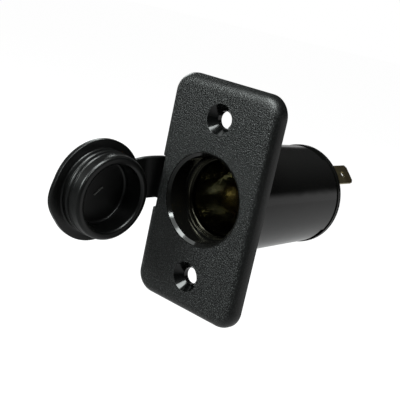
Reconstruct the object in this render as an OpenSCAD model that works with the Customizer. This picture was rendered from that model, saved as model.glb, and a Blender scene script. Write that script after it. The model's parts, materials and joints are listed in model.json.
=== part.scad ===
// A 12 volt socket for a panel, with a face plate, a closed barrel and a captive cap.
// X runs to the right seen from the front, Y into the panel and Z up, in millimetres.
// The origin is the centre of the plate's back face, on the socket's axis.

/* [Face plate] */
// Width of the plate
plate_w = 38; // [38:0.5:60]
// Height of the plate
plate_h = 66.7; // [65:0.1:90]
// Thickness of the plate
plate_t = 4.1; // [3.9:0.1:6]
// Radius of the plate's corners, seen from the front
plate_corner_r = 6.1; // [4.5:0.1:9]
// Rounding of the plate's front edges
plate_edge_r = 3.3; // [1:0.1:3.5]
// Thickness of the rim that stands round the cored back
rim_wall = 2; // [1.4:0.1:3]
// Depth of the cored pockets in the back
core_depth = 2.2; // [1:0.1:2.4]
// Thickness of the stiffening ribs in the pockets
core_rib_t = 1.2; // [0.8:0.1:2]
// Sideways distance of those ribs from the middle
core_rib_x = 8.5; // [7:0.1:11]

/* [Screw holes] */
// Distance between the two screw holes
screw_spacing = 46.1; // [45.5:0.1:50]
// Diameter of the screw holes
screw_d = 4.85; // [3.5:0.05:5.2]
// Diameter of the countersinks at the face
countersink_d = 8.7; // [7:0.1:8.8]
// Depth of the countersinks
countersink_depth = 2.5; // [1.2:0.1:2.6]
// Thickness of the wall round each screw hole, behind the face
screw_boss_wall = 2.6; // [1.8:0.1:3]

/* [Barrel] */
// Outer diameter of the barrel at its rear end
barrel_d = 30.8; // [30:0.1:31]
// How much the barrel's radius grows towards the plate, for the mould
barrel_draft = 0.6; // [0:0.05:0.8]
// Wall of the barrel
barrel_wall = 2.1; // [1.8:0.1:2.4]
// Wall of the neck that comes through the plate
neck_wall = 1; // [0.9:0.05:1.2]
// Chamfer on the mouth's inner edge
mouth_chamfer = 0.8; // [0.3:0.05:0.85]
// Depth of the wide mouth, from the face to the shoulder
mouth_depth = 7.4; // [7.3:0.1:12]
// Thickness of the shoulder that carries the well
shoulder_t = 2; // [1.2:0.1:4]
// Thickness of the small lip in front of the well's edge
stop_lip_t = 0.4; // [0.3:0.05:0.8]
// Number of ribs that centre the well in the barrel
well_ribs = 6; // [4:1:8]
// Thickness of those ribs
well_rib_t = 1.6; // [1:0.1:2.5]
// Height of the snap beads on the neck and on the rear cover
bead_h = 0.25; // [0.15:0.05:0.35]
// Length of the snap beads along the axis
bead_l = 1.2; // [0.8:0.1:1.4]

/* [Rear cover] */
// Thickness of the cover's flange
flange_t = 1.7; // [1.2:0.1:3]
// How far the flange stands out past the barrel
flange_proud = 0.3; // [0.1:0.05:0.8]
// Depth of the fine groove round the flange
flange_groove = 0.3; // [0.1:0.05:0.5]
// Length of the spigot inside the barrel
spigot_l = 4; // [3:0.1:4.2]
// Wall of the spigot
spigot_wall = 1.5; // [1:0.1:1.8]
// Length of the two end notches in the barrel
notch_l = 2.1; // [1:0.1:2.2]
// Angle that each end notch takes up
notch_span_angle = 90; // [30:5:120]
// Angle of the first notch's middle, from +X towards +Z
notch_middle_angle = 105; // [90:5:120]

/* [Contact well] */
// Bore of the contact well
well_d = 21; // [20.6:0.1:21.4]
// Sheet thickness of the well
well_wall = 0.5; // [0.4:0.05:0.7]
// Depth of the well, inside
well_depth = 33.3; // [30:0.1:40]
// How far the well's front edge is belled out
well_flare = 1.4; // [0.6:0.1:1.6]
// Width of the flat rim round the bell
well_rim = 0.3; // [0.2:0.05:0.4]
// Inner rounding of the well's bottom corner
well_corner_r = 2.6; // [1.5:0.1:2.6]

/* [Terminals] */
// Width of the terminal blades
blade_w = 6.3; // [4.8:0.1:6.4]
// Sheet thickness of the terminals
blade_t = 0.8; // [0.6:0.05:1]
// Length of the blades behind the rear cover
blade_l = 12.4; // [8:0.1:16]
// Diameter of the hole in each blade
blade_hole_d = 2; // [1:0.1:2.4]
// Distance of that hole from the blade's tip
blade_hole_at = 4; // [2.5:0.1:6]
// Corner cut at the tips of the blades
blade_chamfer = 0.9; // [0.4:0.1:1.4]
// Angle at which the blades stand round the axis, from +X towards +Z
blade_angle = 44; // [30:1:60]
// Distance of the positive blade from the axis
positive_blade_r = 6; // [5.8:0.1:7]
// Shank diameter of the ground rivet
rivet_d = 1.8; // [1.4:0.1:2]
// Distance of the ground rivet from the axis
rivet_r = 6.4; // [6.3:0.05:6.5]

/* [Centre contact] */
// Diameter of the threaded shank
stud_d = 4; // [3:0.5:4]
// Diameter of the contact's head
head_d = 7; // [5.5:0.1:7.5]
// Height of the contact's head
head_h = 1.6; // [1:0.1:1.6]
// Width of the nut across its flats
nut_w = 7; // [5.5:0.1:7]
// Thickness of the nut
nut_t = 2.2; // [1.6:0.1:3.2]
// Thickness of each insulator
insulator_t = 1; // [0.6:0.1:1]
// Diameter of the outer insulator
insulator_d = 9.4; // [8.6:0.1:9.4]
// Thickness of the lock washer
lock_washer_t = 0.8; // [0.5:0.1:1.2]
// How far the shank stands out of the nut
stud_proud = 0.6; // [0.2:0.1:2]
// Angle of the lock washer's split
washer_split_angle = 16; // [8:1:30]

/* [Cap] */
// Thickness of the cap's lid
lid_t = 1.8; // [1.6:0.1:3]
// How far the lid reaches past the neck, all round
lid_overlap = 0.5; // [0.2:0.1:1.5]
// Rounding of the lid's edge
lid_edge_r = 0.6; // [0.2:0.1:0.7]
// How far the lifting lip stands out of the lid's circle
lip_reach = 0.8; // [0.5:0.1:4]
// Radius of the lifting lip's tip
lip_tip_r = 6.5; // [4:0.1:9]
// Length of the hollow plug
plug_l = 7.4; // [5:0.1:7.4]
// Wall of the plug
plug_wall = 2.5; // [1.5:0.1:3.5]
// Room between the plug's wall and the mouth, in which the ribs stand
plug_room = 1.2; // [1.1:0.05:2]
// Height of the plug's two sealing ribs
seal_rib_h = 0.5; // [0.2:0.05:0.55]
// Width of the sealing ribs at their root
seal_rib_w = 1; // [0.6:0.1:1.4]
// Distance of the first sealing rib from the lid
seal_rib_at = 2; // [1.5:0.1:2.4]
// Distance between the sealing ribs
seal_rib_pitch = 1.9; // [1.5:0.1:2.2]
// Rounding between the floor and the wall of the plug's hollow
hollow_fillet_r = 0.8; // [0.3:0.1:1.5]
// Length of the gate mark on that floor
gate_mark_l = 3.4; // [1.5:0.1:5]
// Width of the gate mark
gate_mark_w = 0.5; // [0.3:0.1:1]
// Height of the gate mark
gate_mark_h = 0.3; // [0.1:0.1:0.5]
// Angle at which the gate mark lies, from +X towards +Z
gate_mark_angle = 150; // [90:5:180]

/* [Strap] */
// Width of the strap
strap_w = 12.7; // [8:0.1:13]
// Thickness of the strap and of its ring
strap_t = 1.6; // [1.2:0.05:1.6]
// Width of the ring round the neck
ring_w = 2.9; // [2:0.1:3]
// How far the strap's middle stands off the plate's edge where it bends
strap_off = 0.5; // [0.4:0.05:1.5]
// Height of the notch in the plate's edge
strap_notch_h = 16.2; // [15.6:0.1:20]
// Depth of the notch in the plate's edge
strap_notch_d = 1; // [0.5:0.1:1.2]
// Angle that the cap and its ring have crept round the neck
ring_turn = 2.7; // [0:0.1:3]

/* [Hinge] */
// Angle at which the cap hangs open
open_angle = 95; // [60:1:120]
// Sideways lean of the bend's axis, as a slope, where the soft strap lets the cap droop
lean_x = -0.075; // [-0.1:0.005:0]
// Lean of the bend's axis out of the panel, as a slope
lean_y = -0.08; // [-0.1:0.005:0]

/* [Fits] */
// Gap between moulded or pressed pieces that fit together
fit_gap = 0.1; // [0.05:0.01:0.15]
// Gap between the closed cap and the face
lid_gap = 0.3; // [0.2:0.05:0.5]
// Gap between pieces that only lie near each other
free_gap = 0.3; // [0.2:0.05:0.4]
// Gap left in the strap where it bends
bend_gap = 0.5; // [0.4:0.05:0.8]

/* [Hidden] */

// Cuts run past the face that they open by this much
over = 0.2;
// Facets on rounded shapes
round_fn = 64;

// Radii of the barrel, the mouth and the neck
barrel_r = barrel_d / 2;
bore_r = barrel_r - barrel_wall;
neck_r = bore_r + neck_wall;
plate_hole_r = neck_r + fit_gap;
screw_r = screw_d / 2;
countersink_r = countersink_d / 2;

// Radii of the contact well and what holds it. Its bell shrinks where a wider well leaves less room
well_r = well_d / 2;
well_outer_r = well_r + well_wall;
smallest_flare = 0.15;
room_for_seat = 1;
flare = max(smallest_flare, min(well_flare, bore_r - well_r - room_for_seat));
bell_r = well_r + flare;
well_seat_r = max(well_outer_r, bell_r + well_rim) + fit_gap;
stop_lip_r = bell_r + 0.05;

// The bottom's corner stays clear of the rivet's head
rivet_head_r = rivet_d / 2 + 0.5;
rivet_head_h = 0.5;
corner_in_r = min(well_corner_r, well_r - rivet_r - rivet_head_r - fit_gap);
corner_out_r = corner_in_r + well_wall;

// Depths along the axis, from the front to the back
y_face = -plate_t;
y_shoulder = y_face + mouth_depth;
y_well = y_shoulder + stop_lip_t;
y_floor = y_well + well_depth;
y_well_back = y_floor + well_wall;
y_terminal = y_well_back + insulator_t;
y_washer = y_terminal + blade_t;
y_nut = y_washer + lock_washer_t;
y_stud_end = y_nut + nut_t + stud_proud;
barrel_l = y_stud_end + free_gap;
y_cover = barrel_l + fit_gap / 2;
y_cover_back = y_cover + flange_t;
y_tip = y_cover_back + blade_l;
y_spigot = y_cover - spigot_l;

// The ring of the cap's strap, in its recess behind the plate
ring_in_r = neck_r + fit_gap;
ring_out_r = ring_in_r + ring_w;
recess_r = ring_out_r + fit_gap;
recess_depth = strap_t + fit_gap;
y_ring = -fit_gap / 2 - strap_t;

// Snap beads and the grooves that they click into
neck_bead_y = y_face / 2 - bead_l;
cover_bead_y = y_spigot + 0.2;

// The ground blade stands as far out as the barrel's bore lets it
ground_blade_r = sqrt(pow(bore_r - fit_gap, 2) - pow(blade_w / 2, 2)) - blade_t / 2;
ground_foot_r = insulator_d / 2 + free_gap;
bend_r = 0.4;

// Insulators, centre stack and rivet
collar_r = stud_d / 2 + 1;
collar_l = well_wall + insulator_t - fit_gap;
stud_hole_r = stud_d / 2 + fit_gap;

// The cap, closed: lid against the face, plug in the mouth
plug_r = bore_r - plug_room;
hollow_r = plug_r - plug_wall;
lid_r = neck_r + lid_overlap;
y_lid = y_face - lid_gap;
y_lid_middle = y_lid - lid_t / 2;
lip_x = lid_r + lip_reach - lip_tip_r;

// The bend in the strap: a point of its axis, and the axis's direction
hinge = [-plate_w / 2 - strap_off, y_lid, 0];
hinge_axis = [lean_x, lean_y, 1];
strap_knee = [-plate_w / 2 + 1.7, y_lid_middle];
strap_shift = (plate_w / 2 + strap_off) * sin(ring_turn);
hinge_relief_r = strap_t / 2 + strap_w / 2 * norm([lean_x, lean_y]) + bend_gap;

// Turns a profile drawn as (radius, depth) round the socket's axis
module turned() {
    rotate([-90, 0, 0])
        rotate_extrude($fn = 96)
            children();
}

// The same, between two angles from +X towards +Z
module turned_between(from, to) {
    rotate([-90, 0, 0])
        rotate([0, 0, -to])
            rotate_extrude(angle = to - from, $fn = 96)
                children();
}

// A cylinder along the socket's axis, from one depth to another
module drilled(r, from, to) {
    translate([0, from, 0])
        rotate([-90, 0, 0])
            cylinder(r = r, h = to - from, $fn = 64);
}

// Turns what lies on the +X side to an angle from +X towards +Z
module turned_to(angle) {
    rotate([0, -angle, 0])
        children();
}

// Extrudes a drawing of the front view, from one depth to another
module front_view(from, to) {
    translate([0, to, 0])
        rotate([90, 0, 0])
            linear_extrude(height = to - from)
                children();
}

// A rectangle with round corners
module rounded_rectangle(w, h, r) {
    square([w - 2 * r, h], center = true);
    square([w, h - 2 * r], center = true);
    for (x = [-1, 1]) {
        for (y = [-1, 1]) {
            translate([x * (w / 2 - r), y * (h / 2 - r)])
                circle(r, $fn = 64);
        }
    }
}

// Half of the plate's section, out to a given half width, with its rounded front edge
module half_section(half_w) {
    square([half_w, plate_t - plate_edge_r]);
    square([half_w - plate_edge_r, plate_t]);
    translate([half_w - plate_edge_r, plate_t - plate_edge_r])
        intersection() {
            circle(plate_edge_r, $fn = 64);
            square(plate_edge_r);
        }
}

module full_section(half_w) {
    half_section(half_w);
    mirror([1, 0])
        half_section(half_w);
}

// The solid plate: two crossed bars and four corners turned from the same section
module plate_blank() {
    corner_x = plate_w / 2 - plate_corner_r;
    corner_z = plate_h / 2 - plate_corner_r;
    mirror([0, 1, 0]) {
        linear_extrude(height = 2 * corner_z, center = true)
            full_section(plate_w / 2);
        rotate([0, 90, 0])
            linear_extrude(height = 2 * corner_x, center = true)
                full_section(plate_h / 2);
        for (x = [0, 1]) {
            for (z = [0, 1]) {
                mirror([x, 0, 0])
                    mirror([0, 0, z])
                        translate([corner_x, 0, corner_z])
                            turned_between(0, 90)
                                half_section(plate_corner_r);
            }
        }
    }
}

module screw_hole() {
    widening = (countersink_r - screw_r) / countersink_depth;
    drilled(screw_r, y_face - over, over);
    translate([0, y_face - over, 0])
        rotate([-90, 0, 0])
            cylinder(
                r1 = countersink_r + widening * over,
                r2 = screw_r,
                h = countersink_depth + over,
                $fn = 64
            );
}

// The pockets in the back leave the ring's wall, the screw bosses and four ribs standing
module back_pockets() {
    difference() {
        rounded_rectangle(plate_w - 2 * rim_wall, plate_h - 2 * rim_wall, plate_corner_r - rim_wall);
        circle(max(recess_r + 1, plate_w / 2 - rim_wall + 1), $fn = 96);
        for (end = [-1, 1]) {
            translate([0, end * screw_spacing / 2])
                circle(screw_r + screw_boss_wall, $fn = 64);
            for (side = [-1, 1]) {
                translate([side * core_rib_x - core_rib_t / 2, end > 0 ? 0 : -plate_h / 2])
                    square([core_rib_t, plate_h / 2]);
            }
        }
    }
}

module face_plate() {
    color([0.13, 0.13, 0.135])
        difference() {
            plate_blank();
            drilled(plate_hole_r, y_face - over, over);
            turned()
                translate([0, neck_bead_y - fit_gap])
                    square([plate_hole_r + bead_h, bead_l + 2 * fit_gap]);
            drilled(recess_r, -recess_depth, over);
            front_view(-core_depth, over)
                back_pockets();
            for (end = [-1, 1]) {
                translate([0, 0, end * screw_spacing / 2])
                    screw_hole();
            }
            translate([-plate_w / 2 - over, y_face - over, -strap_notch_h / 2])
                cube([strap_notch_d + over, plate_t + 2 * over, strap_notch_h]);
            translate([-plate_w / 2 - over, -recess_depth, -strap_notch_h / 2])
                cube([plate_w / 2 - neck_r + over, recess_depth + over, strap_notch_h]);
        }
}

// The barrel's section as (radius, depth): neck, mouth, shoulder with its lip, and the long wall
module housing_section() {
    groove_r = bore_r + bead_h + fit_gap;
    groove_y = cover_bead_y - fit_gap;
    groove_l = bead_l + 2 * fit_gap;
    polygon([
        [neck_r, y_face],
        [bore_r + mouth_chamfer, y_face],
        [bore_r, y_face + mouth_chamfer],
        [bore_r, y_shoulder],
        [stop_lip_r, y_shoulder],
        [stop_lip_r, y_well],
        [well_seat_r, y_well],
        [well_seat_r, y_shoulder + shoulder_t],
        [bore_r, y_shoulder + shoulder_t],
        [bore_r, groove_y],
        [groove_r, groove_y + bead_h],
        [groove_r, groove_y + groove_l - bead_h],
        [bore_r, groove_y + groove_l],
        [bore_r, barrel_l],
        [barrel_r, barrel_l],
        [barrel_r + barrel_draft, 0],
        [neck_r, 0],
        [neck_r, neck_bead_y + bead_l],
        [neck_r + bead_h, neck_bead_y + bead_l - bead_h],
        [neck_r + bead_h, neck_bead_y + bead_h],
        [neck_r, neck_bead_y]
    ]);
}

module end_notch(at) {
    turned_between(at - notch_span_angle / 2, at + notch_span_angle / 2)
        translate([bore_r - over, barrel_l - notch_l])
            square([barrel_wall + 2 * over, notch_l + over]);
}

module socket_housing() {
    rib_y = y_shoulder + shoulder_t - over;
    rib_end = y_floor - corner_in_r;
    color([0.05, 0.05, 0.05]) {
        difference() {
            turned()
                housing_section();
            end_notch(notch_middle_angle);
            end_notch(notch_middle_angle + 180);
        }
        difference() {
            for (i = [0 : well_ribs - 1]) {
                turned_to(i * 360 / well_ribs)
                    translate([well_r, rib_y, -well_rib_t / 2])
                        cube([bore_r + barrel_wall / 2 - well_r, rib_end - rib_y, well_rib_t]);
            }
            drilled(well_seat_r, rib_y - over, rib_end + over);
        }
    }
}

// The lug that stands in an end notch and keeps the cover from turning
module notch_lug(at) {
    inset = asin(free_gap / bore_r);
    turned_between(at - notch_span_angle / 2 + inset, at + notch_span_angle / 2 - inset)
        translate([bore_r - spigot_wall, barrel_l - notch_l + fit_gap])
            square([spigot_wall + barrel_wall / 2, notch_l]);
}

module blade_slot(at_r, front) {
    turned_to(blade_angle)
        translate([at_r - blade_t / 2 - fit_gap, front, -blade_w / 2 - fit_gap])
            cube([blade_t + 2 * fit_gap, y_cover_back + over - front, blade_w + 2 * fit_gap]);
}

module rear_cover() {
    spigot_r = bore_r - fit_gap;
    flange_r = barrel_r + flange_proud;
    groove_y = y_cover + flange_t / 2;
    post_t = 1.6;
    post_reach = min(1.6, corner_out_r);
    post_y = y_floor - corner_in_r + sqrt(pow(corner_out_r, 2) - pow(corner_out_r - post_reach, 2));
    color([0.05, 0.05, 0.05])
        difference() {
            union() {
                turned()
                    difference() {
                        polygon([
                            [0, y_cover],
                            [flange_r, y_cover],
                            [flange_r, y_cover_back - 0.4],
                            [flange_r - 0.4, y_cover_back],
                            [0, y_cover_back]
                        ]);
                        translate([flange_r - flange_groove, groove_y - 0.25])
                            square([flange_groove + over, 0.3]);
                    }
                turned()
                    polygon([
                        [spigot_r - spigot_wall, y_spigot],
                        [spigot_r, y_spigot],
                        [spigot_r, cover_bead_y],
                        [spigot_r + bead_h, cover_bead_y + bead_h],
                        [spigot_r + bead_h, cover_bead_y + bead_l - bead_h],
                        [spigot_r, cover_bead_y + bead_l],
                        [spigot_r, y_cover + over],
                        [spigot_r - spigot_wall, y_cover + over]
                    ]);
                notch_lug(notch_middle_angle);
                notch_lug(notch_middle_angle + 180);
                for (a = [55, 125, 235, 305]) {
                    turned_to(blade_angle + a)
                        translate([well_outer_r - post_reach, post_y, -post_t / 2])
                            cube([spigot_r - 0.5 - well_outer_r + post_reach, y_cover + over - post_y, post_t]);
                }
            }
            blade_slot(ground_blade_r, y_spigot - over);
            turned_to(blade_angle)
                translate([ground_blade_r - blade_t / 2 - fit_gap, y_spigot - over, -blade_w / 2 - free_gap])
                    cube([barrel_r, y_cover - y_spigot + over, blade_w + 2 * free_gap]);
            blade_slot(-positive_blade_r, y_cover - over);
        }
}

// Deep drawn cup: belled front edge, straight wall, rounded bottom and a hole for the stud
module contact_well() {
    corner_y = y_floor - corner_in_r;
    corner_r = well_r - corner_in_r;
    hole_r = collar_r + fit_gap;
    rivet_hole_r = rivet_d / 2 + fit_gap / 2;
    color([0.45, 0.42, 0.3])
        difference() {
            turned() {
                translate([bell_r, y_well])
                    square([well_rim, well_wall]);
                translate([bell_r, y_well + flare])
                    intersection() {
                        difference() {
                            circle(flare, $fn = 64);
                            circle(max(flare - well_wall, 0.02), $fn = 64);
                        }
                        translate([-flare, -flare])
                            square(flare);
                    }
                translate([well_r, y_well + flare])
                    square([well_wall, corner_y - y_well - flare]);
                translate([corner_r, corner_y])
                    intersection() {
                        difference() {
                            circle(corner_out_r, $fn = 64);
                            circle(corner_in_r, $fn = 64);
                        }
                        square(corner_out_r);
                    }
                translate([hole_r, y_floor])
                    square([corner_r - hole_r, well_wall]);
            }
            turned_to(blade_angle)
                translate([rivet_r, 0, 0])
                    drilled(rivet_hole_r, y_floor - over, y_well_back + over);
        }
}

// Side view of a terminal as (radius, depth): a foot from one radius, a bend, and the blade
module terminal_side(foot_from, blade_r, foot_y) {
    outer_r = bend_r + blade_t;
    bend_x = blade_r + blade_t / 2 - outer_r;
    translate([foot_from, foot_y])
        square([bend_x - foot_from, blade_t]);
    translate([bend_x, foot_y + outer_r])
        intersection() {
            difference() {
                circle(outer_r, $fn = 48);
                circle(bend_r, $fn = 48);
            }
            translate([0, -outer_r])
                square(outer_r);
        }
    translate([blade_r - blade_t / 2, foot_y + outer_r])
        square([blade_t, y_tip - foot_y - outer_r]);
}

// A terminal on the +X side: bent strip with cut corners and a hole at the tip
module terminal(foot_from, blade_r, foot_y) {
    difference() {
        linear_extrude(height = blade_w, center = true)
            terminal_side(foot_from, blade_r, foot_y);
        for (side = [-1, 1]) {
            translate([blade_r, y_tip, side * blade_w / 2])
                rotate([45, 0, 0])
                    cube([3 * blade_t, blade_chamfer * sqrt(2), blade_chamfer * sqrt(2)], center = true);
        }
        translate([blade_r - blade_t, y_tip - blade_hole_at, 0])
            rotate([0, 90, 0])
                cylinder(d = blade_hole_d, h = 2 * blade_t, $fn = 32);
    }
}

module ground_terminal() {
    color([0.5, 0.46, 0.3])
        turned_to(blade_angle)
            difference() {
                terminal(ground_foot_r, ground_blade_r, y_well_back);
                translate([rivet_r, 0, 0])
                    drilled(rivet_d / 2 + fit_gap / 2, y_well_back - over, y_well_back + blade_t + over);
            }
}

module ground_rivet() {
    head_y = y_floor - rivet_head_h;
    tail_y = y_well_back + blade_t;
    color([0.6, 0.57, 0.45])
        turned_to(blade_angle)
            translate([rivet_r, 0, 0])
                turned()
                    polygon([
                        [0, head_y],
                        [rivet_head_r - 0.3, head_y],
                        [rivet_head_r, y_floor - 0.1],
                        [rivet_head_r, y_floor],
                        [rivet_d / 2, y_floor],
                        [rivet_d / 2, tail_y],
                        [rivet_head_r, tail_y],
                        [rivet_head_r, tail_y + 0.1],
                        [rivet_head_r - 0.3, tail_y + rivet_head_h],
                        [0, tail_y + rivet_head_h]
                    ]);
}

// Shouldered washer: its flange lies in the well, its collar passes through the bottom
module inner_insulator() {
    color([0.25, 0.13, 0.08])
        turned()
            polygon([
                [stud_hole_r, y_floor - insulator_t],
                [insulator_d / 2, y_floor - insulator_t],
                [insulator_d / 2, y_floor],
                [collar_r, y_floor],
                [collar_r, y_floor + collar_l],
                [stud_hole_r, y_floor + collar_l]
            ]);
}

module centre_contact() {
    head_y = y_floor - insulator_t;
    dome_r = (pow(head_d / 2, 2) + pow(head_h - 0.6, 2)) / (2 * (head_h - 0.6));
    color([0.72, 0.6, 0.32]) {
        drilled(stud_d / 2, head_y - over, y_stud_end);
        intersection() {
            drilled(head_d / 2, head_y - head_h, head_y);
            translate([0, head_y - head_h + dome_r, 0])
                sphere(dome_r, $fn = 96);
        }
    }
}

module outer_insulator() {
    color([0.3, 0.16, 0.1])
        turned()
            translate([collar_r + fit_gap, y_well_back])
                square([insulator_d / 2 - collar_r - fit_gap, insulator_t]);
}

module positive_terminal() {
    color([0.5, 0.46, 0.3])
        turned_to(blade_angle + 180)
            difference() {
                union() {
                    terminal(0, positive_blade_r, y_terminal);
                    drilled(blade_w / 2 + 0.8, y_terminal, y_terminal + blade_t);
                }
                drilled(stud_hole_r, y_terminal - over, y_terminal + blade_t + over);
            }
}

// Split spring washer
module lock_washer() {
    color([0.6, 0.6, 0.62])
        turned_between(washer_split_angle / 2, 360 - washer_split_angle / 2)
            translate([stud_hole_r, y_washer])
                square([nut_w / 2 - stud_hole_r - fit_gap, lock_washer_t]);
}

module hex_nut() {
    corner_r = nut_w / 2 / cos(30);
    color([0.7, 0.7, 0.68])
        difference() {
            translate([0, y_nut, 0])
                rotate([-90, 0, 0])
                    cylinder(r = corner_r, h = nut_t, $fn = 6);
            drilled(stud_d / 2 + fit_gap / 2, y_nut - over, y_nut + nut_t + over);
            turned()
                polygon([
                    [nut_w / 2, y_nut + nut_t + over],
                    [nut_w / 2, y_nut + nut_t],
                    [corner_r + over, y_nut + nut_t - (corner_r + over - nut_w / 2) / 2],
                    [corner_r + over, y_nut + nut_t + over]
                ]);
        }
}

// The strap's side view behind the plate: out of the slot, then round the plate's edge
module strap_root_side() {
    inner_r = 0.4;
    outer_r = inner_r + strap_t;
    bend_x = hinge[0] + strap_t / 2 + inner_r;
    bend_y = y_ring - inner_r;
    translate([bend_x, y_ring])
        square([-ring_in_r - ring_w / 2 - bend_x, strap_t]);
    translate([bend_x, bend_y])
        intersection() {
            difference() {
                circle(outer_r, $fn = 48);
                circle(inner_r, $fn = 48);
            }
            translate([-outer_r, 0])
                square(outer_r);
        }
    translate([hinge[0] - strap_t / 2, hinge[1]])
        square([strap_t, bend_y - hinge[1]]);
}

// Ring and root of the cap's strap. The fold itself is the bend between this and the cap.
module strap_ring() {
    color([0.07, 0.07, 0.07])
        difference() {
            rotate([0, ring_turn, 0]) {
                turned()
                    translate([ring_in_r, y_ring])
                        square([ring_w, strap_t]);
                linear_extrude(height = strap_w, center = true)
                    strap_root_side();
            }
            bend_line(hinge_relief_r, 2 * strap_w, 0);
            drilled(ring_in_r, y_ring - over, over);
        }
}

// A round bar along the axis of the bend, with its middle shifted up along that axis
module bend_line(r, l, shift) {
    lean = norm([lean_x, lean_y]);
    translate(hinge)
        rotate(a = atan(lean), v = [-lean_y, lean_x, 0])
            translate([0, 0, shift])
                cylinder(r = r, h = l, center = true, $fn = 48);
}

// Swings what is drawn closed out to where the cap hangs
module swung_open() {
    translate(hinge)
        rotate(a = -open_angle, v = hinge_axis)
            translate(-hinge)
                children();
}

module lid_disc(r) {
    rotate([90, 0, 0])
        rotate_extrude($fn = round_fn) {
            square([r - lid_edge_r, lid_t]);
            square([r, lid_t - lid_edge_r]);
            translate([r - lid_edge_r, lid_t - lid_edge_r])
                circle(lid_edge_r, $fn = 24);
        }
}

module plug_section() {
    mouth_y = y_lid + plug_l;
    edge_r = plug_wall / 2 - 0.2;
    translate([hollow_r, y_lid - over])
        square([plug_wall, plug_l + over - edge_r]);
    translate([hollow_r + edge_r, mouth_y - 2 * edge_r])
        square([plug_wall - 2 * edge_r, 2 * edge_r]);
    for (r = [hollow_r + edge_r, plug_r - edge_r]) {
        translate([r, mouth_y - edge_r])
            circle(edge_r, $fn = 32);
    }
    for (i = [0, 1]) {
        translate([plug_r, y_lid + seal_rib_at + i * seal_rib_pitch])
            polygon([
                [-over, -seal_rib_w / 2],
                [0, -seal_rib_w / 2],
                [seal_rib_h, -seal_rib_w / 8],
                [seal_rib_h, seal_rib_w / 8],
                [0, seal_rib_w / 2],
                [-over, seal_rib_w / 2]
            ]);
    }
    translate([hollow_r - hollow_fillet_r, y_lid + hollow_fillet_r])
        difference() {
            translate([0, -hollow_fillet_r - over])
                square([hollow_fillet_r + over, hollow_fillet_r + over]);
            circle(hollow_fillet_r, $fn = 48);
        }
}

// A straight stretch of the strap's side view between two points
module strap_stretch(a, b) {
    run = b - a;
    translate(a)
        rotate(atan2(run[1], run[0]))
            translate([0, -strap_t / 2])
                square([norm(run), strap_t]);
}

// The cap as moulded: lid with its lifting lip, hollow plug, and the strap's moving end
module cap() {
    color([0.07, 0.07, 0.07])
        swung_open() {
            rotate([0, ring_turn, 0]) {
                hull() {
                    translate([0, y_lid, 0])
                        lid_disc(lid_r);
                    translate([lip_x, y_lid, 0])
                        lid_disc(lip_tip_r);
                }
                turned()
                    plug_section();
                turned_to(gate_mark_angle)
                    translate([-gate_mark_l / 2, y_lid - over, -gate_mark_w / 2])
                        cube([gate_mark_l, gate_mark_h + over, gate_mark_w]);
                linear_extrude(height = strap_w, center = true) {
                    strap_stretch([-lid_r + 1.5, y_lid_middle], strap_knee);
                    translate(strap_knee)
                        circle(strap_t / 2, $fn = 32);
                    strap_stretch(strap_knee, [hinge[0], hinge[1]]);
                }
            }
            bend_line(strap_t / 2, strap_w, strap_shift);
        }
}

face_plate();
socket_housing();
rear_cover();
contact_well();
ground_terminal();
ground_rivet();
inner_insulator();
centre_contact();
outer_insulator();
positive_terminal();
lock_washer();
hex_nut();
strap_ring();
cap();
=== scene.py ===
import json
import math

import bmesh
import bpy
from mathutils import Matrix, Vector


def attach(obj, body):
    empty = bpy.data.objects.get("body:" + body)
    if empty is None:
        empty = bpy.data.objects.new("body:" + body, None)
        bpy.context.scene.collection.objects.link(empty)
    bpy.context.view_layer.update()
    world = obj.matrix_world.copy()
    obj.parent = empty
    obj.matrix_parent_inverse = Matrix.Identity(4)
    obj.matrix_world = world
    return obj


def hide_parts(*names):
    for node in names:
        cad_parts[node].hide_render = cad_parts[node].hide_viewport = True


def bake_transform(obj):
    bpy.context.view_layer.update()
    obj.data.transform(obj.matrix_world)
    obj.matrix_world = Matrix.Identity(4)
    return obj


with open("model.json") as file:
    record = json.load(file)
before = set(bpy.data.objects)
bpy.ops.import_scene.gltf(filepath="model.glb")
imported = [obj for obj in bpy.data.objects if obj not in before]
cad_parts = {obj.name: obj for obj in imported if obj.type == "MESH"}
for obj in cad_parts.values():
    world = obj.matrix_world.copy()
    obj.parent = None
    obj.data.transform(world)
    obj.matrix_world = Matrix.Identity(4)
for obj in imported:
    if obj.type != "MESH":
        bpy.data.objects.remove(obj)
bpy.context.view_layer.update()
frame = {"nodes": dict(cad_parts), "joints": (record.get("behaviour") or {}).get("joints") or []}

# Camera: a short telephoto lens to the right of the socket and a little above it. The socket
# leans in the picture, so the camera is turned about its own line of sight.
mm = 0.001
camera_place = Vector((137.2, -178.5, 53.7)) * mm
camera_turn = math.radians(38.36)
camera_height = math.radians(14.38)
camera_roll = math.radians(12.28)
camera_back = Vector((
    math.sin(camera_turn) * math.cos(camera_height),
    -math.cos(camera_turn) * math.cos(camera_height),
    math.sin(camera_height),
))
camera_right = Vector((math.cos(camera_turn), math.sin(camera_turn), 0))
camera_up = camera_back.cross(camera_right)
rolled_right = camera_right * math.cos(camera_roll) + camera_up * math.sin(camera_roll)
rolled_up = camera_up * math.cos(camera_roll) - camera_right * math.sin(camera_roll)
camera_axes = Matrix((rolled_right, rolled_up, camera_back)).transposed().to_4x4()
lens = bpy.data.cameras.new("photo_lens")
lens.lens = 73.7
lens.shift_x = 0.0075
lens.shift_y = 0.0263
camera = bpy.data.objects.new("camera", lens)
camera.matrix_world = Matrix.Translation(camera_place) @ camera_axes
bpy.context.scene.collection.objects.link(camera)
bpy.context.scene.camera = camera


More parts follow.
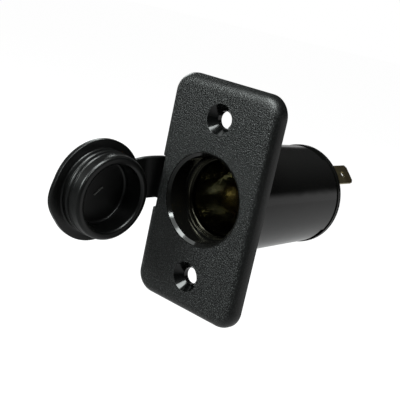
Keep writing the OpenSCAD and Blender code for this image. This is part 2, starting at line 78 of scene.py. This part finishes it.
# Table: a pale sheet that runs far past the object. It looks white to the camera and keeps a
# faint shadow. In reflections it goes dark at the front and at the left, where the room is unlit.
def add_node(tree, kind, options=None, values=None):
    node = tree.nodes.new(kind)
    for name, value in (options or {}).items():
        setattr(node, name, value)
    for name, value in (values or {}).items():
        node.inputs[name].default_value = value
    return node


def wire(tree, value, socket):
    """Links an output to a socket, or sets the socket to a plain number."""
    if isinstance(value, bpy.types.NodeSocket):
        tree.links.new(value, socket)
    else:
        socket.default_value = value


def calc(tree, operation, a, b=0.0, c=0.0):
    """One sum with outputs or plain numbers."""
    node = add_node(tree, "ShaderNodeMath", {"operation": operation})
    for value, socket in zip((a, b, c), node.inputs):
        wire(tree, value, socket)
    return node.outputs[0]


def fade(tree, value, start, end, at_start=0.0, at_end=1.0):
    """Goes smoothly from one value to another while the given value goes from start to end."""
    node = add_node(tree, "ShaderNodeMapRange", {"interpolation_type": "SMOOTHSTEP"}, {
        "From Min": start, "From Max": end, "To Min": at_start, "To Max": at_end,
    })
    wire(tree, value, node.inputs["Value"])
    return node.outputs["Result"]


def choose(tree, factor, off, on):
    """The first value where the factor is 0, the second where it is 1."""
    node = add_node(tree, "ShaderNodeMix", {"data_type": "FLOAT"})
    for value, name in ((factor, "Factor"), (off, "A"), (on, "B")):
        wire(tree, value, node.inputs[name])
    return node.outputs["Result"]


def place(tree):
    """The point's X, Y and Z on the object."""
    coordinates = add_node(tree, "ShaderNodeTexCoord")
    split = add_node(tree, "ShaderNodeSeparateXYZ")
    tree.links.new(coordinates.outputs["Object"], split.inputs[0])
    return split.outputs


table_height = -75 * mm
table_half = 4.0
table_mesh = bpy.data.meshes.new("table")
table_corners = ((-1, -1), (1, -1), (1, 1), (-1, 1))
table_mesh.from_pydata(
    [(x * table_half, y * table_half, table_height) for x, y in table_corners], [], [(0, 1, 2, 3)]
)
table = bpy.data.objects.new("table", table_mesh)
bpy.context.scene.collection.objects.link(table)

table_white = bpy.data.materials.new("table_white")
table_white.use_nodes = True
tree = table_white.node_tree
tree.nodes.clear()
light_path = add_node(tree, "ShaderNodeLightPath").outputs
lit = add_node(tree, "ShaderNodeBsdfDiffuse", values={"Color": (0.4, 0.4, 0.4, 1)})
faint = add_node(tree, "ShaderNodeBsdfDiffuse", values={"Color": (0.25, 0.25, 0.25, 1)})
glow = add_node(tree, "ShaderNodeEmission", values={"Color": (1, 1, 1, 1)})
shown = add_node(tree, "ShaderNodeAddShader")
mixed = add_node(tree, "ShaderNodeMixShader")
output = add_node(tree, "ShaderNodeOutputMaterial")
at = place(tree)
from_front = fade(tree, at["Y"], -0.10, 0.05, 0.015, 0.45)
from_left = fade(tree, at["X"], -0.17, -0.04, 0.2, 1.0)
mirrored = calc(tree, "MULTIPLY", from_front, from_left)
near_white = 0.975
strength = choose(tree, light_path["Is Glossy Ray"], near_white, mirrored)
wire(tree, strength, glow.inputs["Strength"])
seen = calc(tree, "MAXIMUM", light_path["Is Camera Ray"], light_path["Is Glossy Ray"])
seen = calc(tree, "MAXIMUM", seen, light_path["Is Transmission Ray"])
tree.links.new(faint.outputs[0], shown.inputs[0])
tree.links.new(glow.outputs[0], shown.inputs[1])
wire(tree, seen, mixed.inputs["Fac"])
tree.links.new(lit.outputs[0], mixed.inputs[1])
tree.links.new(shown.outputs[0], mixed.inputs[2])
tree.links.new(mixed.outputs[0], output.inputs["Surface"])
table_mesh.materials.append(table_white)

# Room: white to the camera. Reflections see the white wall behind the object up to the table's
# far edge, and a dim room above it and in front. The walls give a plain grey light.
room = bpy.data.worlds.new("room")
room.use_nodes = True
bpy.context.scene.world = room
tree = room.node_tree
tree.nodes.clear()
light_path = add_node(tree, "ShaderNodeLightPath").outputs
coordinates = add_node(tree, "ShaderNodeTexCoord")
direction = add_node(tree, "ShaderNodeSeparateXYZ")
tree.links.new(coordinates.outputs["Generated"], direction.inputs[0])
low = fade(tree, direction.outputs["Z"], 0.08, 0.24, 1.0, 0.0)
behind = fade(tree, direction.outputs["Y"], -0.3, 0.1)
ceiling = fade(tree, direction.outputs["Z"], 0.25, 0.7, 0.03, 0.08)
wall_light = 0.5
room_light = 0.05
mirrored = calc(tree, "MULTIPLY_ADD", calc(tree, "MULTIPLY", low, behind), wall_light, ceiling)
strength = choose(tree, light_path["Is Glossy Ray"], room_light, mirrored)
seen = calc(tree, "MAXIMUM", light_path["Is Camera Ray"], light_path["Is Transmission Ray"])
sky = add_node(tree, "ShaderNodeBackground", values={"Color": (1, 1, 1, 1)})
output = add_node(tree, "ShaderNodeOutputWorld")
wire(tree, choose(tree, seen, strength, 1.0), sky.inputs["Strength"])
tree.links.new(sky.outputs[0], output.inputs["Surface"])


# Lamps: a wide soft box to the left of the camera, a small one close above the plate, whose light
# falls off down its face, a long strip overhead, a small box at the right and one at the rear left.
def soft_box(name, spot, width, height, brightness, height_along=(0, 0, 1)):
    """A rectangle at a spot, turned to the socket, with its height along the given direction."""
    light = bpy.data.lights.new(name, "AREA")
    light.shape = "RECTANGLE"
    light.size = width
    light.size_y = height
    light.energy = brightness * math.pi * width * height
    light.color = (0.94, 1.0, 0.985)
    lamp = bpy.data.objects.new(name, light)
    back = Vector(spot).normalized()
    side = Vector(height_along).cross(back).normalized()
    axes = Matrix((side, back.cross(side), back)).transposed().to_4x4()
    lamp.matrix_world = Matrix.Translation(spot) @ axes
    lamp.visible_camera = False
    bpy.context.scene.collection.objects.link(lamp)


soft_box("front_left", (-0.23, -0.485, 0.25), 0.2, 0.2, 16.0)
soft_box("near_top", (0.004, -0.055, 0.11), 0.08, 0.05, 12.0)
soft_box("arch", (-0.047, -0.295, 0.45), 0.12, 0.79, 2.0, (-0.94, 0.34, 0.0))
soft_box("key", (0.28, -0.385, 0.35), 0.05, 0.08, 26.0)
soft_box("rear_left", (-0.50, 0.25, 0.20), 0.2, 0.2, 6.0)


# Face plate: one plastic moulding with a spark-eroded grain on its face, which fades towards
# the rounded edges. Polished pins mould its screw holes. Its mouth is narrower and its notch for
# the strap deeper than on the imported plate, so a changed copy of that plate stands for it.
def new_material(name, base_color, metallic=0.0):
    material = bpy.data.materials.new(name)
    material.use_nodes = True
    shader = material.node_tree.nodes["Principled BSDF"]
    shader.inputs["Base Color"].default_value = (*base_color, 1)
    shader.inputs["Metallic"].default_value = metallic
    return material, material.node_tree, shader.inputs


def finish(material, *node_names):
    """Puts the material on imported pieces."""
    for node_name in node_names:
        for slot in frame["nodes"][node_name].material_slots:
            slot.material = material


def new_group(name, inputs, outputs):
    """A shader group with plain number inputs. Returns its tree and both its ends."""
    group = bpy.data.node_groups.new(name, "ShaderNodeTree")
    for socket_name, value in inputs.items():
        socket = group.interface.new_socket(
            socket_name, in_out="INPUT", socket_type="NodeSocketFloat"
        )
        socket.default_value = value
    for socket_name in outputs:
        group.interface.new_socket(socket_name, in_out="OUTPUT", socket_type="NodeSocketFloat")
    ends_in = group.nodes.new("NodeGroupInput").outputs
    ends_out = group.nodes.new("NodeGroupOutput").inputs
    return group, ends_in, ends_out


def use_group(tree, group, **values):
    node = add_node(tree, "ShaderNodeGroup", {"node_tree": group})
    for name, value in values.items():
        wire(tree, value, node.inputs[name.replace("_", " ")])
    return node.outputs


def noise(tree, scale, detail=2.0, vector=None):
    node = add_node(tree, "ShaderNodeTexNoise", values={"Detail": detail})
    wire(tree, scale, node.inputs["Scale"])
    if vector is None:
        vector = add_node(tree, "ShaderNodeTexCoord").outputs["Object"]
    tree.links.new(vector, node.inputs["Vector"])
    return node.outputs[0]


def bump(tree, inputs, height, distance, strength=1.0):
    node = add_node(tree, "ShaderNodeBump", values={"Distance": distance})
    wire(tree, height, node.inputs["Height"])
    wire(tree, strength, node.inputs["Strength"])
    tree.links.new(node.outputs["Normal"], inputs["Normal"])


def tint(tree, inputs, mask, other):
    """Base Color goes from the material's own colour to another one with the mask."""
    node = add_node(tree, "ShaderNodeMix", {"data_type": "RGBA"})
    wire(tree, mask, node.inputs["Factor"])
    node.inputs[6].default_value = inputs["Base Color"].default_value
    node.inputs[7].default_value = (*other, 1)
    tree.links.new(node.outputs[2], inputs["Base Color"])


# Grain of a spark-eroded mould: coarse cells with finer ones on them, and a mask of their peaks for
# painted glints.
mould_grain, ends_in, ends_out = new_group(
    "mould_grain", {"Scale": 2700.0}, ("Height", "Peaks")
)
coarse = noise(mould_grain, ends_in["Scale"], 1.0)
fine = noise(mould_grain, calc(mould_grain, "MULTIPLY", ends_in["Scale"], 2.3), 0.0)
wire(mould_grain, calc(mould_grain, "MULTIPLY_ADD", fine, 0.4, coarse), ends_out["Height"])
wire(mould_grain, fade(mould_grain, coarse, 0.52, 0.68), ends_out["Peaks"])

# Dust and finger marks: a few specks, and wide soft patches.
handling, ends_in, ends_out = new_group(
    "handling", {"Speck Scale": 260.0, "Amount": 0.06}, ("Specks", "Smudge")
)
cells = add_node(handling, "ShaderNodeTexVoronoi", {"feature": "F1"})
coordinates = add_node(handling, "ShaderNodeTexCoord")
handling.links.new(coordinates.outputs["Object"], cells.inputs["Vector"])
wire(handling, ends_in["Speck Scale"], cells.inputs["Scale"])
chance = add_node(handling, "ShaderNodeSeparateColor")
handling.links.new(cells.outputs["Color"], chance.inputs[0])
picked = calc(handling, "LESS_THAN", chance.outputs[0], ends_in["Amount"])
dot = fade(handling, cells.outputs["Distance"], 0.03, 0.07, 1.0, 0.0)
wire(handling, calc(handling, "MULTIPLY", picked, dot), ends_out["Specks"])
wire(handling, noise(handling, 90.0, 3.0), ends_out["Smudge"])

plate_face = -4.1 * mm
screw_offset = 23.05 * mm
countersink_r = 4.25 * mm
grain_depth = 0.26 * mm
grained_plastic, tree, inputs = new_material("grained_plastic", (0.0015, 0.0018, 0.0017))
at = place(tree)
face_mask = fade(tree, at["Y"], plate_face + 0.02 * mm, plate_face + 0.9 * mm, 1.0, 0.2)
screw_z = calc(tree, "SUBTRACT", calc(tree, "ABSOLUTE", at["Z"]), screw_offset)
screw_x_squared = calc(tree, "POWER", at["X"], 2.0)
from_screw = calc(tree, "SQRT", calc(tree, "MULTIPLY_ADD", screw_z, screw_z, screw_x_squared))
polished = fade(tree, from_screw, countersink_r, countersink_r + 0.15 * mm, 1.0, 0.0)
grain_mask = calc(tree, "MULTIPLY", face_mask, calc(tree, "SUBTRACT", 1.0, polished))
grain_and_glints = use_group(tree, mould_grain)
marks = use_group(tree, handling)
# Painted glints: the grain's peaks are coloured pale, standing in for the light their facets catch.
# The dust specks added to them are real.
painted_glints = calc(tree, "MULTIPLY", grain_and_glints["Peaks"], grain_mask)
painted_glints_and_dust = calc(tree, "MULTIPLY_ADD", painted_glints, 0.45, marks["Specks"])
tint(tree, inputs, painted_glints_and_dust, (0.10, 0.108, 0.105))
rough = calc(tree, "MULTIPLY_ADD", marks["Smudge"], 0.08, 0.34)
wire(tree, choose(tree, polished, rough, 0.15), inputs["Roughness"])
bump(tree, inputs, grain_and_glints["Height"], grain_depth, grain_mask)


def to_object(sheet, name, matrix=Matrix()):
    """Turns a built sheet into an object at the origin, with its points moved by the matrix."""
    sheet.transform(matrix)
    mesh = bpy.data.meshes.new(name)
    sheet.to_mesh(mesh)
    sheet.free()
    piece = bpy.data.objects.new(name, mesh)
    bpy.context.scene.collection.objects.link(piece)
    return piece


def plain_mesh(piece):
    """Applies the piece's modifiers and removes them."""
    bpy.context.view_layer.update()
    shaped = piece.evaluated_get(bpy.context.evaluated_depsgraph_get())
    made = bpy.data.meshes.new_from_object(shaped)
    piece.modifiers.clear()
    old = piece.data
    piece.data = made
    bpy.data.meshes.remove(old)


mouth_shift = 0.9 * mm
mouth_inner_r = 13 * mm
plate_hole_r = 14.45 * mm
weld = 0.002 * mm


def changed_copy(node_name, name, outer_r, deepest):
    """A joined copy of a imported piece, with the wall round the mouth moved towards the axis.

    The wall is what lies between mouth_inner_r and outer_r, in front of the deepest point.
    """
    sheet = bmesh.new()
    sheet.from_mesh(frame["nodes"][node_name].data)
    bmesh.ops.remove_doubles(sheet, verts=sheet.verts, dist=weld)
    for vertex in sheet.verts:
        radius = math.hypot(vertex.co.x, vertex.co.z)
        if mouth_inner_r < radius < outer_r and vertex.co.y < deepest:
            vertex.co.x *= 1 - mouth_shift / radius
            vertex.co.z *= 1 - mouth_shift / radius
    piece = to_object(sheet, name)
    for stored in ("custom_normal", "sharp_edge", "sharp_face"):
        if stored in piece.data.attributes:
            piece.data.attributes.remove(piece.data.attributes[stored])
    return piece


def coat(piece, material):
    piece.data.materials.clear()
    piece.data.materials.append(material)


def smooth(piece, sharp_angle):
    """Shades a piece smoothly up to the given angle, with its wide faces kept flat."""
    piece.data.shade_smooth()
    piece.data.set_sharp_from_angle(angle=math.radians(sharp_angle))
    weighted = piece.modifiers.new("weighted", "WEIGHTED_NORMAL")
    weighted.keep_sharp = True
    plain_mesh(piece)


def rounded_block(size, corner, steps, through_only=False):
    """A block of three sizes with rounded edges, or with only its edges along Y rounded."""
    block = bmesh.new()
    bmesh.ops.create_cube(block, size=1)
    block.transform(Matrix.Diagonal((*size, 1)))
    edges = block.edges[:]
    if through_only:
        edges = [e for e in edges if abs(e.verts[0].co.y - e.verts[1].co.y) > corner]
    bmesh.ops.bevel(block, geom=edges, offset=corner, segments=steps, affect="EDGES", profile=0.5)
    return block


notch_height = 16.2 * mm
notch_bottom = -16.4 * mm
notch_corner = 0.4 * mm
cutter_width = 8 * mm
cutter_depth = 20 * mm
plate = changed_copy("face_plate", "plate", plate_hole_r, mm)
cutter = rounded_block((cutter_width, cutter_depth, notch_height), notch_corner, 4, True)
notch = to_object(cutter, "notch", Matrix.Translation((notch_bottom - cutter_width / 2, 0, 0)))
cut = plate.modifiers.new("notch", "BOOLEAN")
cut.operation = "DIFFERENCE"
cut.solver = "EXACT"
cut.object = notch
plain_mesh(plate)
bpy.data.objects.remove(notch)
moulded_edge = 25
coat(plate, grained_plastic)
smooth(plate, moulded_edge)
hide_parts("face_plate")
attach(plate, "socket")

# Barrel and rear cover: polished black mouldings, the barrel's neck coming through the plate
# from behind and the cover snapped into its rear end. A changed copy stands for the barrel, as
# for the plate, with its neck and the wall of its mouth nearer to the axis.
round_neck_r = 14.7 * mm
neck_end = 3.35 * mm
gloss_plastic, tree, inputs = new_material("gloss_plastic", (0.005, 0.005, 0.0045))
marks = use_group(tree, handling, Speck_Scale=200.0, Amount=0.03)
tint(tree, inputs, marks["Specks"], (0.05, 0.05, 0.045))
wire(tree, calc(tree, "MULTIPLY_ADD", marks["Smudge"], 0.10, 0.06), inputs["Roughness"])
bump(tree, inputs, noise(tree, 45.0, 1.0), 0.03 * mm)
finish(gloss_plastic, "rear_cover")
housing = changed_copy("socket_housing", "housing", round_neck_r, neck_end)
coat(housing, gloss_plastic)
smooth(housing, moulded_edge)
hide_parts("socket_housing")
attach(housing, "socket")

# Contact well: a deep drawn cup of yellowish plated steel, the socket's negative contact.
# Drawing leaves fine lines along it, and the same roll lines run along the blades.
drawn_lines, ends_in, ends_out = new_group(
    "drawn_lines", {"Scale": 3000.0}, ("Height", "Patches")
)
coordinates = add_node(drawn_lines, "ShaderNodeTexCoord")
stretch = add_node(drawn_lines, "ShaderNodeMapping", values={"Scale": (1, 0.02, 1)})
drawn_lines.links.new(coordinates.outputs["Object"], stretch.inputs["Vector"])
lines = noise(drawn_lines, ends_in["Scale"], 1.0, stretch.outputs[0])
wire(drawn_lines, lines, ends_out["Height"])
wire(drawn_lines, fade(drawn_lines, noise(drawn_lines, 220.0, 4.0), 0.4, 0.65), ends_out["Patches"])

# The belled front edge keeps a bright rim, and behind it the bell is painted dark: painted shade in
# place of the lamp reflections its curve would catch.
bell_start = 3.72 * mm
bell_end = 5.9 * mm
plated_steel, tree, inputs = new_material("plated_steel", (0.29, 0.28, 0.21), metallic=1.0)
lines = use_group(tree, drawn_lines, Scale=1400.0)
depth = place(tree)["Y"]
behind_rim = fade(tree, depth, bell_start, bell_start + 0.12 * mm)
in_bell = fade(tree, depth, bell_end - 0.4 * mm, bell_end, 1.0, 0.0)
painted_bell_shade = calc(tree, "MULTIPLY", behind_rim, in_bell)
stained = calc(tree, "MULTIPLY", lines["Patches"], 0.25)
# Painted shade: the bell behind the rim is coloured near black. Elsewhere the mask gives the
# plating's real stain patches.
tint(tree, inputs, choose(tree, painted_bell_shade, stained, 1.0), (0.022, 0.021, 0.016))
wire(tree, calc(tree, "MULTIPLY_ADD", lines["Height"], 0.12, 0.12), inputs["Roughness"])
bump(tree, inputs, lines["Height"], 0.002 * mm)
finish(plated_steel, "contact_well", "ground_rivet")

# Blades: the two push-on terminals, pressed from brass strip with a dull tin wash. One is riveted
# to the bottom of the well, and the other has a ring foot on the centre contact's shank.
blade_brass, tree, inputs = new_material("blade_brass", (0.36, 0.31, 0.17), metallic=1.0)
lines = use_group(tree, drawn_lines, Scale=2200.0)
tint(tree, inputs, lines["Patches"], (0.20, 0.15, 0.07))
wire(tree, calc(tree, "MULTIPLY_ADD", lines["Height"], 0.3, 0.25), inputs["Roughness"])
bump(tree, inputs, lines["Height"], 0.02 * mm)
finish(blade_brass, "ground_terminal", "positive_terminal")

# Insulators: two washers pressed from vulcanised fibre, on either side of the well's bottom.
# The inner one's shoulder keeps the centre contact's shank off the edge of the hole.
insulator, tree, inputs = new_material("insulator", (0.26, 0.11, 0.06))
fibres = noise(tree, 1500.0, 4.0)
tint(tree, inputs, fibres, (0.13, 0.06, 0.035))
wire(tree, 0.7, inputs["Roughness"])
bump(tree, inputs, fibres, 0.03 * mm)
finish(insulator, "inner_insulator", "outer_insulator")

# Nut and washer: zinc plated steel. The nut clamps the centre contact, the two insulators and the
# positive blade to the well's bottom, and the spring washer under it keeps it tight.
zinc_steel, tree, inputs = new_material("zinc_steel", (0.55, 0.55, 0.54), metallic=1.0)
wire(tree, fade(tree, noise(tree, 700.0, 3.0), 0.35, 0.7, 0.25, 0.45), inputs["Roughness"])
finish(zinc_steel, "lock_washer", "hex_nut")

# Centre contact: turned from brass bar, a domed head on a threaded shank. It is the positive
# contact, in the middle of the well's bottom, where the tip of the plug presses on it.
contact_brass, tree, inputs = new_material("contact_brass", (0.62, 0.48, 0.22), metallic=1.0)
wire(tree, fade(tree, noise(tree, 900.0, 3.0), 0.3, 0.7, 0.18, 0.35), inputs["Roughness"])
finish(contact_brass, "centre_contact")

# Cap: one soft rubber moulding of lid, hollow plug, strap and ring. It is built as it lies when
# closed and swung out to where it hangs, and the strap between the two is swept along its bend.
cap_hinge = frame["joints"][0]
hinge_point = Vector(cap_hinge["pos_m"])
closed_angle = math.radians(cap_hinge["range_deg"][1])
swing = Matrix.Rotation(-closed_angle, 4, Vector(cap_hinge["axis"]))
# The ring has crept a little round the barrel's neck, and the whole moulding with it.
creep = Matrix.Rotation(math.radians(2.7), 4, "Y")
hung = Matrix.Translation(hinge_point) @ swing @ Matrix.Translation(-hinge_point) @ creep

lid_r = 14.8
lid_under = -4.4
lid_front = -6.2
plug_r = 12.1
hollow_r = 9.6
plug_mouth = 3.0
lip_reach = 0.75
lip_half_angle = 28


def arc(centre, radius, start, end, steps):
    """Points of an arc from one angle to another, in degrees."""
    angles = [math.radians(start + (end - start) * i / steps) for i in range(steps + 1)]
    return [(centre[0] + radius * math.cos(a), centre[1] + radius * math.sin(a)) for a in angles]


def spun(profile, steps, outline=None):
    """Spins (radius, depth) points in millimetres round the axis. Radius zero closes a pole."""
    sheet = bmesh.new()
    rows = []
    for radius, depth in profile:
        if radius == 0:
            rows.append([sheet.verts.new((0, depth * mm, 0))])
            continue
        row = []
        for i in range(steps):
            angle = 2 * math.pi * i / steps
            out = radius + (outline(radius, angle) if outline else 0)
            across, up = out * math.cos(angle), out * math.sin(angle)
            row.append(sheet.verts.new((across * mm, depth * mm, up * mm)))
        rows.append(row)
    for a, b in zip(rows, rows[1:]):
        for i in range(steps):
            j = (i + 1) % steps
            if len(a) == 1:
                sheet.faces.new((a[0], b[j], b[i]))
            elif len(b) == 1:
                sheet.faces.new((a[i], a[j], b[0]))
            else:
                sheet.faces.new((a[i], a[j], b[j], b[i]))
    if len(rows[0]) > 1:
        for i in range(steps):
            j = (i + 1) % steps
            sheet.faces.new((rows[-1][i], rows[-1][j], rows[0][j], rows[0][i]))
    bmesh.ops.recalc_face_normals(sheet, faces=sheet.faces)
    return sheet


def lifting_lip(radius, angle):
    """How far the lid reaches out at an angle, most at its edge and nothing near the plug."""
    angle = math.degrees((angle + math.pi) % (2 * math.pi) - math.pi)
    if abs(angle) > lip_half_angle or radius < plug_r + 1:
        return 0
    share = min(1, (radius - plug_r - 1) / (lid_r - plug_r - 1.7))
    return share * lip_reach * 0.5 * (1 + math.cos(math.pi * angle / lip_half_angle))


# The lid's half section, from the middle of the hollow's floor round the plug's mouth, down its
# side with the two sealing ribs, and round the lid's edge to the middle of its front.
floor_round = 0.8
plug_round = 1.05
root_round = 0.5
back_round = 0.2
front_round = 0.6
seal_ribs = []
for depth in (-0.5, -2.4):
    seal_ribs += [(plug_r, depth + 0.4), (plug_r + 0.05, depth + 0.26)]
    seal_ribs += arc((plug_r + 0.12, depth), 0.13, 60, -60, 6)
    seal_ribs += [(plug_r + 0.05, depth - 0.26), (plug_r, depth - 0.4)]
lid_profile = [(0, lid_under), (hollow_r * 0.5, lid_under)]
lid_profile += arc((hollow_r - floor_round, lid_under + floor_round), floor_round, -90, 0, 8)
lid_profile += arc((hollow_r + plug_round, plug_mouth - plug_round), plug_round, 180, 90, 10)
lid_profile += arc((plug_r - plug_round, plug_mouth - plug_round), plug_round, 90, 0, 10)
lid_profile += seal_ribs
lid_profile += arc((plug_r + root_round, lid_under + root_round), root_round, 180, 270, 6)
lid_profile += [(plug_r + 1.2, lid_under)]
lid_profile += arc((lid_r - back_round, lid_under - back_round), back_round, 90, 0, 4)
lid_profile += arc((lid_r - front_round, lid_front + front_round), front_round, 0, -90, 8)
lid_profile += [(lid_r - 2.5, lid_front), (lid_r * 0.5, lid_front), (0, lid_front)]
lid = to_object(spun(lid_profile, 192, lifting_lip), "cap_moulding", hung)

ring_inner = 14.4
ring_outer = 17.3
ring_front = -1.65
ring_back = -0.05
ring_corner = 0.2
ring_profile = [
    (ring_inner, ring_front + ring_corner), (ring_inner + ring_corner, ring_front),
    (ring_outer - ring_corner, ring_front), (ring_outer, ring_front + ring_corner),
    (ring_outer, ring_back - ring_corner), (ring_outer - ring_corner, ring_back),
    (ring_inner + ring_corner, ring_back), (ring_inner, ring_back - ring_corner),
]
ring = to_object(spun(ring_profile, 128), "ring", creep)


# The strap's path: out of the ring, round the plate's edge, through the bend and into the lid.
# Each point carries the direction across the strap, which turns with the cap's droop.
def bezier(p0, p1, p2, p3, t):
    return p0 * (1 - t) ** 3 + p1 * 3 * t * (1 - t) ** 2 + p2 * 3 * t * t * (1 - t) + p3 * t ** 3


root_across = creep @ Vector((0, 0, 1))
lid_across = hung.to_3x3() @ Vector((0, 0, 1))
ring_middle = (ring_front + ring_back) / 2
lid_middle = (lid_under + lid_front) / 2
path = [creep @ Vector((x * mm, ring_middle * mm, 0)) for x in (-15.5, -16.5, -17.5)]
path += [creep @ Vector((x * mm, y * mm, 0)) for x, y in arc((-18.3, -2.05), 1.2, 90, 180, 12)]
across = [root_across] * len(path)
leave = creep @ Vector((-19.5 * mm, -2.9 * mm, 0))
arrive = hung @ Vector((-16.2 * mm, lid_middle * mm, 0))
into_lid = (hung.to_3x3() @ Vector((1, 0, 0))).normalized()
leave_pull = leave + Vector((0, -2.2 * mm, 0))
arrive_pull = arrive - into_lid * 1.6 * mm
bend_steps = 36
for i in range(bend_steps + 1):
    t = i / bend_steps
    path.append(bezier(leave, leave_pull, arrive_pull, arrive, t))
    across.append(root_across.lerp(lid_across, t * t * (3 - 2 * t)).normalized())
for x in (-15.2, -14.2, -13.2):
    path.append(hung @ Vector((x * mm, lid_middle * mm, 0)))
    across.append(lid_across)

path_mesh = bpy.data.meshes.new("strap_path")
path_mesh.from_pydata(path, [(i, i + 1) for i in range(len(path) - 1)], [])
path_mesh.attributes.new("across", "FLOAT_VECTOR", "POINT")
path_mesh.attributes["across"].data.foreach_set("vector", [c for v in across for c in v])
strap = bpy.data.objects.new("strap", path_mesh)
bpy.context.scene.collection.objects.link(strap)

sweep = bpy.data.node_groups.new("strap_sweep", "GeometryNodeTree")
sweep.interface.new_socket("Geometry", in_out="INPUT", socket_type="NodeSocketGeometry")
for name in ("Width", "Thickness", "Edge Radius"):
    sweep.interface.new_socket(name, in_out="INPUT", socket_type="NodeSocketFloat")
sweep.interface.new_socket("Material", in_out="INPUT", socket_type="NodeSocketMaterial")
sweep.interface.new_socket("Geometry", in_out="OUTPUT", socket_type="NodeSocketGeometry")
enter = sweep.nodes.new("NodeGroupInput").outputs
result = sweep.nodes.new("NodeGroupOutput").inputs
line = add_node(sweep, "GeometryNodeMeshToCurve")
normal = add_node(sweep, "GeometryNodeSetCurveNormal", {"mode": "FREE"})
stored = add_node(
    sweep, "GeometryNodeInputNamedAttribute", {"data_type": "FLOAT_VECTOR"}, {"Name": "across"}
)
outline = add_node(sweep, "GeometryNodeCurvePrimitiveQuadrilateral")
rounding = add_node(sweep, "GeometryNodeFilletCurve", {"mode": "POLY"}, {"Count": 4})
skin = add_node(sweep, "GeometryNodeCurveToMesh", values={"Fill Caps": True})
real = add_node(sweep, "GeometryNodeRealizeInstances")
rubbered = add_node(sweep, "GeometryNodeSetMaterial")
sweep.links.new(enter["Geometry"], line.inputs["Mesh"])
sweep.links.new(line.outputs[0], normal.inputs["Curve"])
sweep.links.new(stored.outputs[0], normal.inputs["Normal"])
sweep.links.new(enter["Width"], outline.inputs["Width"])
sweep.links.new(enter["Thickness"], outline.inputs["Height"])
sweep.links.new(outline.outputs[0], rounding.inputs["Curve"])
sweep.links.new(enter["Edge Radius"], rounding.inputs["Radius"])
sweep.links.new(normal.outputs[0], skin.inputs["Curve"])
sweep.links.new(rounding.outputs[0], skin.inputs["Profile Curve"])
sweep.links.new(skin.outputs[0], real.inputs[0])
sweep.links.new(real.outputs[0], rubbered.inputs["Geometry"])
sweep.links.new(enter["Material"], rubbered.inputs["Material"])
sweep.links.new(rubbered.outputs[0], result["Geometry"])

cap_rubber, tree, inputs = new_material("cap_rubber", (0.002, 0.0021, 0.002))
marks = use_group(tree, handling, Speck_Scale=230.0, Amount=0.05)
tint(tree, inputs, marks["Specks"], (0.05, 0.05, 0.05))
wire(tree, calc(tree, "MULTIPLY_ADD", marks["Smudge"], 0.12, 0.26), inputs["Roughness"])
bump(tree, inputs, noise(tree, 3000.0, 1.0), 0.004 * mm)


def run_nodes(piece, group, **values):
    """Adds the node group to a piece, sets its inputs and makes the result a plain mesh."""
    modifier = piece.modifiers.new(group.name, "NODES")
    modifier.node_group = group
    for item in group.interface.items_tree:
        key = item.name.replace(" ", "_").lower()
        if item.item_type == "SOCKET" and item.in_out == "INPUT" and key in values:
            modifier[item.identifier] = values[key]
    plain_mesh(piece)


strap_width = 12.7 * mm
strap_thickness = 1.6 * mm
run_nodes(
    strap, sweep,
    width=strap_width, thickness=strap_thickness, edge_radius=0.3 * mm, material=cap_rubber,
)

# The gate mark: the short ridge on the hollow's floor where the rubber was cut off. Its pale grey
# is a painted highlight.
gate_size = (3.4 * mm, 0.8 * mm, 0.45 * mm)
gate_turn = Matrix.Rotation(math.radians(-150), 4, "Y")
gate_place = Matrix.Translation((0, (lid_under - 0.1) * mm, 0)) @ gate_turn
gate = to_object(rounded_block(gate_size, 0.12 * mm, 3), "gate_mark", hung @ gate_place)
# Painted highlight: the ridge is coloured pale grey to stand in for the bright line of light along
# it.
gate_scar, tree, inputs = new_material("gate_scar", (0.30, 0.30, 0.285))
wire(tree, fade(tree, noise(tree, 2500.0), 0.3, 0.7, 0.35, 0.6), inputs["Roughness"])
gate.data.materials.append(gate_scar)
lid.data.materials.append(cap_rubber)
ring.data.materials.append(cap_rubber)

for part in (strap, ring, gate):
    union = lid.modifiers.new(part.name, "BOOLEAN")
    union.operation = "UNION"
    union.solver = "EXACT"
    union.material_mode = "TRANSFER"
    union.object = part
plain_mesh(lid)
for part in (strap, ring, gate):
    bpy.data.objects.remove(part)
welded = bmesh.new()
welded.from_mesh(lid.data)
bmesh.ops.remove_doubles(welded, verts=welded.verts, dist=2 * weld)
bmesh.ops.dissolve_degenerate(welded, edges=welded.edges, dist=weld)
welded.to_mesh(lid.data)
welded.free()
smooth(lid, 40)
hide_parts("cap", "strap_ring")
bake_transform(lid)

bpy.context.scene.view_settings.view_transform = "Standard"
